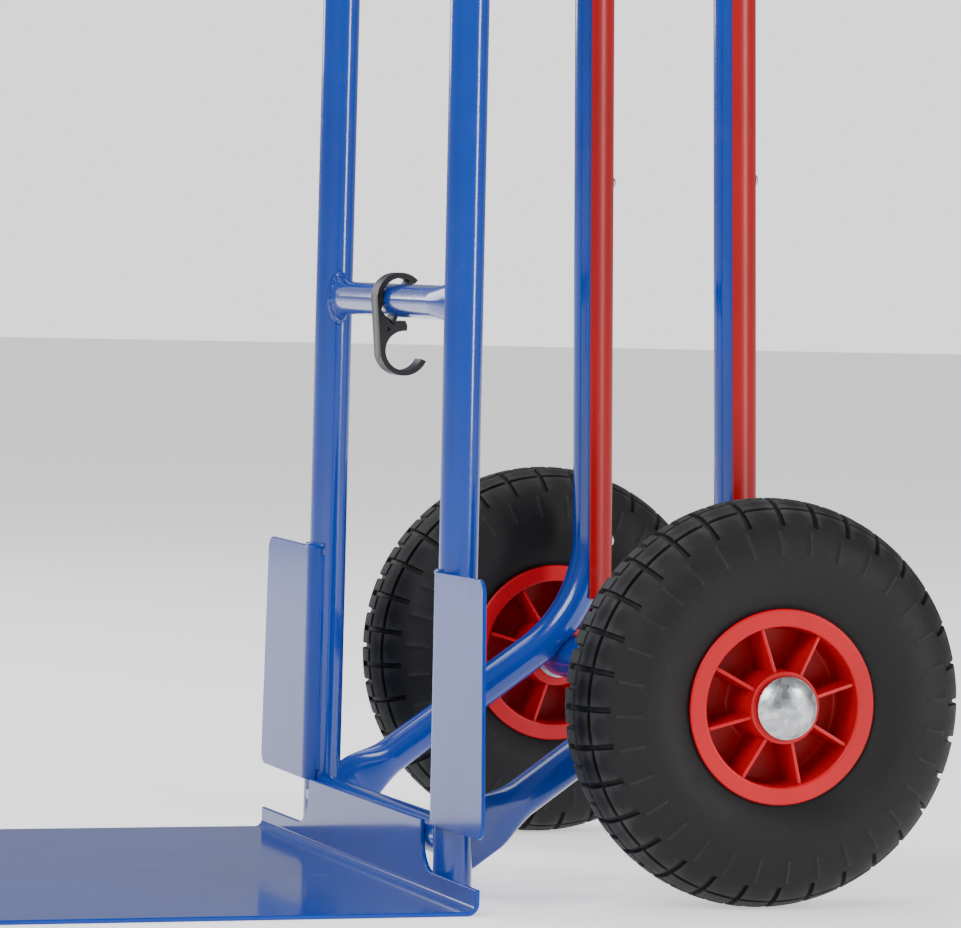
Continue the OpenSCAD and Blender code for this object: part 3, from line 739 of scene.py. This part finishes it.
def plain_bar(name, back, height, radius, inset):
    """A straight round tube between two tubes of the side frames, with its weld beads."""
    half = FOOT_HALF - inset - height * math.tan(math.radians(TAPER))
    end = half - TUBE_R * 0.6
    piece = start(bpy.ops.mesh.primitive_cylinder_add, vertices=48, radius=radius, depth=2 * end,
                  rotation=(0, math.pi / 2, 0))
    close()
    place(piece, Matrix.Translation((0, UPRIGHT_Y + back, height)))
    beads = []
    for side in SIDES.values():
        bead = weld_bead(radius, radius, TUBE_R + 0.0004, 0.0020)
        bead.data.transform(Matrix.Translation((back, height, 0)))
        place(bead, side_matrix(side, inset))
        beads.append(bead)
    hand_over(join([piece] + beads), name, "frame", "blue_enamel", name)


def stay():
    """A short tube from an upright back to its rear tube, with its weld beads."""
    back = rear_at(STAY_H)
    first, last = TUBE_R * 0.7, back - TUBE_R * 0.7
    piece = start(bpy.ops.mesh.primitive_cylinder_add, vertices=48, radius=STAY_R, depth=last - first,
                  location=((first + last) / 2, STAY_H, 0), rotation=(0, math.pi / 2, 0))
    close()
    parts = [piece]
    for at, turn in ((0, 90), (back, -90)):
        bead = weld_bead(STAY_R, STAY_R, TUBE_R + 0.0004, 0.0018)
        faced = Matrix.Rotation(math.radians(turn), 4, "Y") @ Matrix.Diagonal((1, 1, -1, 1))
        bead.data.transform(Matrix.Translation((at, STAY_H, 0)) @ faced)
        parts.append(bead)
    on_both_sides(join(parts), REAR_INSET / 2, "stay", "blue_enamel", "stay")


# --- sheet parts --------------------------------------------------------------------------------------


def face_along(piece, direction):
    """Turns the largest face, and all with it, to point along a direction."""
    largest = max(piece.data.polygons, key=lambda face: face.area)
    if largest.normal.dot(Vector(direction)) < 0:
        reopen(piece)
        bpy.ops.mesh.select_all(action="SELECT")
        bpy.ops.mesh.flip_normals()
        close()


def toe_plate():
    """One bent sheet: a flat plate, a rear flange and its tall centre with scalloped ends."""
    fold_y = -TUBE_R - PLATE_BEND_R - PLATE_T
    fold_z = PLATE_T + PLATE_BEND_R
    front = -TUBE_R - PLATE_T - PLATE_DEPTH
    tab_foot = TAB_HALF + SCALLOP_R
    piece = start(bpy.ops.mesh.primitive_plane_add, size=1)
    resize((PLATE_W, fold_y - front, 1), (0, 0, 0))
    bpy.ops.transform.translate(value=(0, (fold_y + front) / 2, PLATE_T))
    for x in (-tab_foot, tab_foot):
        bpy.ops.mesh.select_all(action="SELECT")
        bpy.ops.mesh.bisect(plane_co=(x, 0, 0), plane_no=(1, 0, 0))
    pick(piece, "VERT", lambda p: p.y < front + 0.001 and abs(p.x) > PLATE_W / 2 - 0.001)
    bpy.ops.mesh.bevel(offset=PLATE_CORNER_R, segments=10, affect="VERTICES")
    pick(piece, "EDGE", lambda p: p.y > fold_y - 0.0001)
    bpy.ops.mesh.spin(steps=8, angle=-math.pi / 2, center=(0, fold_y, fold_z), axis=(1, 0, 0))
    extrude((0, 0, FLANGE_H - fold_z))
    pick(piece, "EDGE", lambda p: p.z > FLANGE_H - 0.0001 and abs(p.x) < tab_foot)
    rings = 9
    x, z = tab_foot, FLANGE_H
    for i in range(1, rings + 1):
        turn = math.radians(90 * i / rings)
        then_x = tab_foot - SCALLOP_R * math.sin(turn)
        then_z = FLANGE_H + SCALLOP_R * (1 - math.cos(turn))
        extrude((0, 0, then_z - z))
        resize((then_x / x, 1, 1), (0, 0, then_z))
        x, z = then_x, then_z
    extrude((0, 0, TAB_H - z))
    close()
    heal(piece)
    face_along(piece, (0, 0, 1))
    use(piece, "SOLIDIFY", thickness=PLATE_T, offset=-1, use_even_offset=True)
    soften(piece, 0.0008, 3, 40)
    place(piece, Matrix.Translation((0, UPRIGHT_Y, 0)))
    hand_over(piece, "toe_plate", "frame", "plate_enamel", "toe_plate")


def side_wing():
    """A flat sheet in front of an upright that wraps round the upright's inner side."""
    height = WING_HIGH - WING_LOW
    piece = start(bpy.ops.mesh.primitive_plane_add, size=1, rotation=(0, math.pi / 2, 0))
    resize((1, height, WING_FOOT_W), (0, 0, 0))
    bpy.ops.transform.translate(value=(-TUBE_R, WING_LOW + height / 2, WING_FOOT_W / 2))
    pick(piece, "VERT", lambda p: p.y > WING_HIGH - 0.001 and p.z > 0.01)
    bpy.ops.transform.translate(value=(0, 0, WING_TOP_W - WING_FOOT_W))
    pick(piece, "VERT", lambda p: p.z > 0.01)
    bpy.ops.mesh.bevel(offset=WING_CORNER_R, segments=8, affect="VERTICES")
    pick(piece, "EDGE", lambda p: p.z < 0.0001)
    bpy.ops.mesh.spin(steps=12, angle=math.radians(WING_WRAP), center=(0, 0, 0), axis=(0, 1, 0))
    close()
    heal(piece)
    face_along(piece, (-1, 0, 0))
    use(piece, "SOLIDIFY", thickness=WING_T, offset=1, use_even_offset=True)
    soften(piece, 0.0006, 3, 40)
    parts = [piece]
    # beads: down the free edge of the wrap, over its top, and behind the sheet
    turn = math.radians(180 - WING_WRAP)
    middle = (WING_LOW + WING_HIGH) / 2
    for x, z, radius in ((TUBE_R * math.cos(turn), -TUBE_R * math.sin(turn), 0.0021),
                         (-TUBE_R + 0.0012, 0.0055, 0.0024)):
        bead = start(bpy.ops.mesh.primitive_cylinder_add, vertices=16, radius=radius,
                     depth=height - 0.012, location=(x, middle, z), rotation=(math.pi / 2, 0, 0))
        close()
        soften(bead, radius * 0.6, 3, 40)
        parts.append(bead)
    top = start(bpy.ops.mesh.primitive_circle_add, vertices=16, radius=0.0019,
                location=(-TUBE_R - 0.0006, WING_HIGH, 0.004))
    bpy.ops.mesh.edge_face_add()
    bpy.ops.mesh.spin(steps=16, angle=math.radians(WING_WRAP + 22), center=(0, WING_HIGH, 0),
                      axis=(0, 1, 0))
    close()
    heal(top)
    parts.append(top)
    on_both_sides(join(parts), 0, "side_wing", "plate_enamel", "side_wing")


# --- wheels -------------------------------------------------------------------------------------------


def lathe(points, steps):
    """Spins an outline of (radius, height) points round the z axis."""
    piece = start(bpy.ops.mesh.primitive_plane_add, size=0.001)
    bpy.ops.mesh.merge(type="CENTER")
    bpy.ops.transform.translate(value=(points[0][0], 0, points[0][1]))
    for before, after in zip(points, points[1:]):
        extrude((after[0] - before[0], 0, after[1] - before[1]))
    bpy.ops.mesh.select_all(action="SELECT")
    bpy.ops.mesh.spin(steps=steps, angle=2 * math.pi, center=(0, 0, 0), axis=(0, 0, 1))
    close()
    heal(piece)
    return piece


def arc(centre, radius, first, last, count):
    """Outline points along an arc. The angles are from the radius direction."""
    angles = [math.radians(first + (last - first) * i / count) for i in range(count + 1)]
    return [(centre[0] + radius * math.cos(a), centre[1] + radius * math.sin(a)) for a in angles]


def tyre(side):
    """A round tyre with tread blocks, a centre rib and thin radial fins on its shoulders."""
    middle = TYRE_R - SECTION_R
    edge = math.degrees(math.acos((RIM_R + 0.0006 - middle) / SECTION_R))
    zone = 4
    count = 2 * int(edge // zone)
    outside = arc((middle, 0), SECTION_R, -zone * (count / 2), zone * (count / 2), count)
    inside = arc((middle, 0), SECTION_R - TYRE_WALL, zone * (count / 2), -zone * (count / 2), count)
    bead_r, bead_z = RIM_R + 0.0004, outside[-1][1]
    points = [(bead_r, -bead_z)] + outside + [(bead_r, bead_z), (bead_r, bead_z - TYRE_WALL)]
    points += inside + [(bead_r, TYRE_WALL - bead_z)]
    steps = PITCHES * STEPS_PER_PITCH
    piece = lathe(points + points[:1], steps)
    reopen(piece)

    def where(p):
        """Angle round the tyre's section, and which of a pitch's steps a point is in."""
        section = math.degrees(math.atan2(p.z, p.xy.length - middle))
        step = int((math.degrees(math.atan2(p.y, p.x)) % 360) / (360 / steps))
        return section, step % STEPS_PER_PITCH

    def outer_skin(p):
        return math.hypot(p.xy.length - middle, p.z) > SECTION_R - TYRE_WALL / 2

    def groove(p):
        section, step = where(p)
        if not outer_skin(p):
            return False
        ring = 8 < abs(section) < 12 or 28 < abs(section) < 32
        across = 12 < abs(section) < 52 and step == (0 if section > 0 else 3)
        sipe = abs(section) < 8 and step in (0, 3)
        return ring or across or sipe

    def fin(p):
        section, step = where(p)
        return 56 < abs(section) < 80 and step == 1

    pick(piece, "FACE", groove)
    bpy.ops.mesh.inset(thickness=0.0007, depth=-0.0026)
    pick(piece, "FACE", lambda p: fin(p) and outer_skin(p))
    bpy.ops.mesh.inset(thickness=0.0011, depth=0.0008)
    close()
    place(piece, wheel_matrix(SIDES[side]))
    hand_over(piece, f"tyre_{side}", f"wheel_{side}", "tyre_rubber", f"tyre_{side}", angle=38)


def rim(side):
    """A moulded rim: barrel with rounded lips, web, hub, and ribs on both sides."""
    barrel = SEAT_R - RIM_WALL
    half_outline = [(BEARING_R, HUB_HALF - 0.014), (BEARING_R, HUB_HALF - 0.0006),
                    (BEARING_R + 0.0006, HUB_HALF)]
    half_outline += arc((HUB_R - 0.0012, HUB_HALF - 0.0012), 0.0012, 90, 0, 4)
    half_outline += [(HUB_R + 0.0006, WEB_T / 2 + 0.004)]
    half_outline += arc((HUB_R + 0.0036, WEB_T / 2 + 0.003), 0.003, 180, 270, 4)
    half_outline += arc((barrel - 0.0036, WEB_T / 2 + 0.003), 0.003, -90, 0, 4)
    half_outline += arc((barrel + 0.0018, RIM_HALF - 0.0018), 0.0018, 180, 90, 5)
    half_outline += arc((RIM_R - 0.0016, RIM_HALF - 0.0016), 0.0016, 90, -90, 8)
    half_outline += [(SEAT_R, RIM_HALF - 0.0032)]
    other_half = [(r, -z) for r, z in reversed(half_outline)]
    outline = half_outline + other_half
    piece = lathe(outline + outline[:1], 144)
    ribs = []
    for i in range(RIBS):
        rib = start(bpy.ops.mesh.primitive_cube_add, size=1)
        length = barrel - HUB_R + 0.003
        resize((length, RIB_T, 2 * (HUB_HALF - 0.003)), (0, 0, 0))
        pick(rib, "VERT", lambda p: p.x > 0)
        resize((1, 1, (RIM_HALF - 0.003) / (HUB_HALF - 0.003)), (0, 0, 0))
        # a little thinner towards the open edges, as it left its mould
        for sign in (-1, 1):
            pick(rib, "VERT", lambda p, sign=sign: p.z * sign > 0)
            resize((1, 0.8, 1), (0, 0, 0))
        close()
        soften(rib, 0.0007, 2, 40)
        rib.data.transform(Matrix.Rotation(math.radians(RIB_TURN + 360 / RIBS * i), 4, "Z")
                           @ Matrix.Translation((HUB_R - 0.0015 + length / 2, 0, 0)))
        ribs.append(rib)
    join([piece] + ribs)
    place(piece, wheel_matrix(SIDES[side]))
    hand_over(piece, f"rim_{side}", f"wheel_{side}", "rim_red", f"rim_{side}", angle=35)


def hub_cap(side):
    """A thin domed cap with a rolled edge."""
    dome = (CAP_R ** 2 + CAP_DEPTH ** 2) / (2 * CAP_DEPTH)
    reach = math.degrees(math.asin((CAP_R - 0.0008) / dome))
    points = arc((0, CAP_DEPTH - dome), dome, 90, 90 - reach, 14)
    last = points[-1]
    points += arc((last[0], last[1] - 0.0008), 0.0008, 60, -90, 5)
    points += [(AXLE_R + 0.003, 0.0002), (AXLE_R + 0.003, 0.0042), (0, 0.0042)]
    piece = lathe(points, 96)
    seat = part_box(f"hub_cap_{side}")
    inner_x = seat[0].x if side == "right" else seat[1].x
    sign = SIDES[side]
    place(piece, Matrix.Translation((inner_x, WHEEL_PIVOT.y, WHEEL_PIVOT.z))
          @ Matrix.Rotation(math.radians(sign * 90), 4, "Y"))
    hand_over(piece, f"hub_cap_{side}", "frame", "zinc", f"hub_cap_{side}")


# --- carried over nodes -------------------------------------------------------------------------------


def polished(node, body, finish, width, angle=30):
    """A merged copy of a CAD node with softened edges, which stands for it."""
    piece = twin(frame["nodes"][node])
    piece.parent = None
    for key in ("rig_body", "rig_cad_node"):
        del piece[key]
    heal(piece)
    reopen(piece)
    bpy.ops.mesh.select_all(action="SELECT")
    bpy.ops.mesh.dissolve_limited(angle_limit=math.radians(1))
    close()
    soften(piece, width, 2, angle)
    return hand_over(piece, node, body, finish, node)


def keep(finish, *names):
    """Gives carried-over CAD nodes their finish."""
    for name in names:
        node = frame["nodes"][name]
        node.data.materials.clear()
        node.data.materials.append(FINISHES[finish])


# --- the truck ----------------------------------------------------------------------------------------

keep("zinc", "axle_rod", "inner_washers", "outer_washers", "inner_bearing_left", "inner_bearing_right",
     "outer_bearing_left", "outer_bearing_right", "valve_left", "valve_right")
keep("tube_rubber", "inner_tube_left", "inner_tube_right")
keep("blue_enamel", "foot_bar", "axle_tube")

for side_name in SIDES:
    tyre(side_name)
    rim(side_name)
    hub_cap(side_name)
upright()
rear_tube()
stay()
stair_skid()
grip()
screws()
side_wing()
toe_plate()
cross_tube("cross_tube_low", CROSS_LOW_H)
cross_tube("cross_tube_middle", CROSS_MIDDLE_H)
cross_tube("cross_tube_top", CROSS_TOP_H)
plain_bar("rear_bar", rear_at(REAR_BAR_H), REAR_BAR_H, CROSS_R, REAR_INSET)
polished("hook_clip", "hook", "hook_black", 0.0007)

# --- studio -------------------------------------------------------------------------------------------


def studio_surface(name, colour, roughness):
    """A plain matte surface for the studio."""
    material = bpy.data.materials.new(name)
    material.use_nodes = True
    surface = material.node_tree.nodes["Principled BSDF"]
    surface.inputs["Base Color"].default_value = colour
    surface.inputs["Roughness"].default_value = roughness
    return material


deselect()
FLOOR_SIZE = 40
bpy.ops.mesh.primitive_plane_add(size=FLOOR_SIZE, location=(0, 0, 0))
floor = bpy.context.object
floor.name = "floor"
white_floor = studio_surface("floor_white", (0.86, 0.86, 0.87, 1), 0.7)
glow = white_floor.node_tree.nodes["Principled BSDF"]
glow.inputs["Emission Color"].default_value = (1, 1, 1, 1)
glow.inputs["Emission Strength"].default_value = 0.7
floor.data.materials.append(white_floor)


def soft_light(name, location, target, width, height, power):
    """A rectangular soft light that faces a point."""
    lamp = bpy.data.lights.new(name, "AREA")
    lamp.shape = "RECTANGLE"
    lamp.size, lamp.size_y, lamp.energy = width, height, power
    light = bpy.data.objects.new(name, lamp)
    bpy.context.scene.collection.objects.link(light)
    light.location = location
    light.rotation_euler = (Vector(target) - Vector(location)).to_track_quat("-Z", "Y").to_euler()


CENTRE = (0, 0.05, 0.45)
soft_light("key_light", (2.6, -2.6, 2.6), CENTRE, 1.8, 1.8, 120)
soft_light("strip_light", (2.6, 2.6, 1.3), CENTRE, 0.5, 2.2, 80)
soft_light("top_light", (-0.6, -0.4, 3.4), CENTRE, 2.4, 2.4, 75)
soft_light("far_light", (-3.0, -1.4, 1.6), CENTRE, 1.2, 2.0, 45)

world = bpy.data.worlds.new("studio")
bpy.context.scene.world = world
world.use_nodes = True
sky = world.node_tree.nodes["Background"]
sky.inputs["Color"].default_value = (0.93, 0.95, 1.0, 1)
sky.inputs["Strength"].default_value = 0.38
backdrop = world.node_tree.nodes.new("ShaderNodeBackground")
backdrop.inputs["Color"].default_value = (1, 1, 1, 1)
backdrop.inputs["Strength"].default_value = 1.6
rays = world.node_tree.nodes.new("ShaderNodeLightPath")
either = world.node_tree.nodes.new("ShaderNodeMixShader")
world.node_tree.links.new(rays.outputs["Is Camera Ray"], either.inputs[0])
world.node_tree.links.new(sky.outputs[0], either.inputs[1])
world.node_tree.links.new(backdrop.outputs[0], either.inputs[2])
world.node_tree.links.new(either.outputs[0], world.node_tree.nodes["World Output"].inputs["Surface"])

# The camera's turn about the vertical, its tilt down and its roll, in radians.
AZIMUTH, PITCH, ROLL = 1.2497, 0.0393, 0.0238
CAMERA_PLACE = (3.2798, -0.97745, 0.40626)
SENSOR_MM = 36
LENS_MM = 194.8

level = Vector((math.cos(AZIMUTH), math.sin(AZIMUTH), 0))
ahead = Vector((-math.sin(AZIMUTH), math.cos(AZIMUTH), 0))
forward = ahead * math.cos(PITCH) - Vector((0, 0, math.sin(PITCH)))
above = level.cross(forward)
right = level * math.cos(ROLL) + above * math.sin(ROLL)
up = above * math.cos(ROLL) - level * math.sin(ROLL)
lens = bpy.data.cameras.new("camera")
lens.sensor_width = SENSOR_MM
lens.lens = LENS_MM
camera = bpy.data.objects.new("camera", lens)
bpy.context.scene.collection.objects.link(camera)
turned = Matrix((right, up, -forward)).transposed().to_4x4()
camera.matrix_world = Matrix.Translation(CAMERA_PLACE) @ turned
bpy.context.scene.camera = camera
